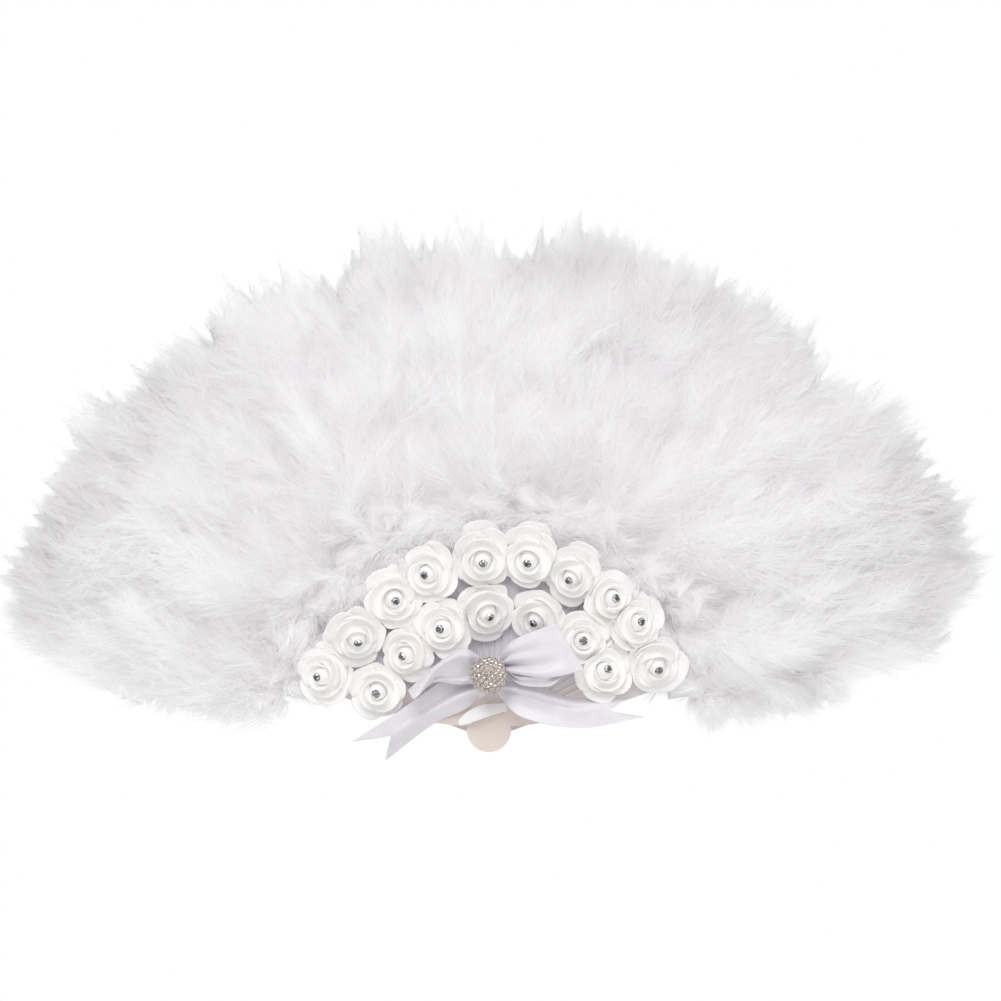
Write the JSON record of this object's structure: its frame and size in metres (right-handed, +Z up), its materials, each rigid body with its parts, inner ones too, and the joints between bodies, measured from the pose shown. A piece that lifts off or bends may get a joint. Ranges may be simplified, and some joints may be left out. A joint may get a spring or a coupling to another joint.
{
  "type": "feather fan",
  "caption": "Folding hand fan of white marabou plumes on riveted sticks, with foam roses, a satin bow and a crystal ball on a fluted front plate",
  "frame": {"origin": "on the rivet's axis, halfway through the stack of sticks, where the hand holds the fan", "axes": "+X to the right across the open fan, +Y from its front to its back along the rivet, +Z up through the middle of the fan"},
  "size_m": [0.5196, 0.0729, 0.2915],
  "materials": {
    "stick": "satin",
    "plate": "satin",
    "steel": "satin",
    "feather": "matte",
    "foam": "matte",
    "satin": "satin",
    "crystal": "polished"
  },
  "bodies": {
    "root": {"front_plate": "plate", "rivet": "steel", "rivet_washer": "steel", "link_ribbon_middle": "satin", "rose_outer_1": "foam", "rose_outer_2": "foam", "rose_outer_3": "foam", "rose_outer_4": "foam", "rose_outer_5": "foam", "rose_outer_6": "foam", "rose_outer_7": "foam", "rose_outer_8": "foam", "rose_outer_9": "foam", "rose_outer_10": "foam", "rose_inner_1": "foam", "rose_inner_2": "foam", "rose_inner_3": "foam", "rose_inner_4": "foam", "rose_inner_5": "foam", "rose_inner_6": "foam", "rose_inner_7": "foam", "bow_knot": "satin", "bow_loop_left": "satin", "bow_loop_right": "satin", "bow_tail_left": "satin", "bow_tail_right": "satin", "ribbon_tuck": "satin", "crystal_ball": "crystal"},
    "left_1": {"stick_left_1": "stick", "plume_left_1": "feather"},
    "left_2": {"stick_left_2": "stick", "plume_left_2": "feather", "link_ribbon_left_2": "satin"},
    "left_3": {"stick_left_3": "stick", "plume_left_3": "feather", "link_ribbon_left_3": "satin"},
    "left_4": {"stick_left_4": "stick", "plume_left_4": "feather", "link_ribbon_left_4": "satin"},
    "left_5": {"stick_left_5": "stick", "plume_left_5": "feather", "link_ribbon_left_5": "satin"},
    "right_1": {"stick_right_1": "stick", "plume_right_1": "feather"},
    "right_2": {"stick_right_2": "stick", "plume_right_2": "feather", "link_ribbon_right_2": "satin"},
    "right_3": {"stick_right_3": "stick", "plume_right_3": "feather", "link_ribbon_right_3": "satin"},
    "right_4": {"stick_right_4": "stick", "plume_right_4": "feather", "link_ribbon_right_4": "satin"},
    "right_5": {"stick_right_5": "stick", "plume_right_5": "feather", "link_ribbon_right_5": "satin"}
  },
  "joints": [
    {"name": "left_fold", "type": "hinge", "parent": "root", "child": "left_1", "pos_m": [0, 0, 0], "axis": [0, 1, 0], "range_deg": [0, 7.7], "deforming": ["plume_left_1", "link_ribbon_middle"]},
    {"name": "left_fold_2", "type": "hinge", "parent": "left_1", "child": "left_2", "pos_m": [0, 0, 0], "axis": [0, 1, 0], "range_deg": [0, 15.4], "deforming": ["plume_left_2", "link_ribbon_left_2"]},
    {"name": "left_fold_3", "type": "hinge", "parent": "left_2", "child": "left_3", "pos_m": [0, 0, 0], "axis": [0, 1, 0], "range_deg": [0, 15.4], "deforming": ["plume_left_3", "link_ribbon_left_3"]},
    {"name": "left_fold_4", "type": "hinge", "parent": "left_3", "child": "left_4", "pos_m": [0, 0, 0], "axis": [0, 1, 0], "range_deg": [0, 15.4], "deforming": ["plume_left_4", "link_ribbon_left_4"]},
    {"name": "left_fold_5", "type": "hinge", "parent": "left_4", "child": "left_5", "pos_m": [0, 0, 0], "axis": [0, 1, 0], "range_deg": [0, 15.4], "deforming": ["plume_left_5", "link_ribbon_left_5"]},
    {"name": "right_fold", "type": "hinge", "parent": "root", "child": "right_1", "pos_m": [0, 0, 0], "axis": [0, -1, 0], "range_deg": [0, 7.7], "deforming": ["plume_right_1"]},
    {"name": "right_fold_2", "type": "hinge", "parent": "right_1", "child": "right_2", "pos_m": [0, 0, 0], "axis": [0, -1, 0], "range_deg": [0, 15.4], "deforming": ["plume_right_2", "link_ribbon_right_2"]},
    {"name": "right_fold_3", "type": "hinge", "parent": "right_2", "child": "right_3", "pos_m": [0, 0, 0], "axis": [0, -1, 0], "range_deg": [0, 15.4], "deforming": ["plume_right_3", "link_ribbon_right_3"]},
    {"name": "right_fold_4", "type": "hinge", "parent": "right_3", "child": "right_4", "pos_m": [0, 0, 0], "axis": [0, -1, 0], "range_deg": [0, 15.4], "deforming": ["plume_right_4", "link_ribbon_right_4"]},
    {"name": "right_fold_5", "type": "hinge", "parent": "right_4", "child": "right_5", "pos_m": [0, 0, 0], "axis": [0, -1, 0], "range_deg": [0, 15.4], "deforming": ["plume_right_5", "link_ribbon_right_5"]}
  ],
  "couplings": [
    {"joint": "left_fold_2", "follows": "left_fold", "ratio": 2},
    {"joint": "left_fold_3", "follows": "left_fold", "ratio": 2},
    {"joint": "left_fold_4", "follows": "left_fold", "ratio": 2},
    {"joint": "left_fold_5", "follows": "left_fold", "ratio": 2},
    {"joint": "right_fold_2", "follows": "right_fold", "ratio": 2},
    {"joint": "right_fold_3", "follows": "right_fold", "ratio": 2},
    {"joint": "right_fold_4", "follows": "right_fold", "ratio": 2},
    {"joint": "right_fold_5", "follows": "right_fold", "ratio": 2}
  ]
}
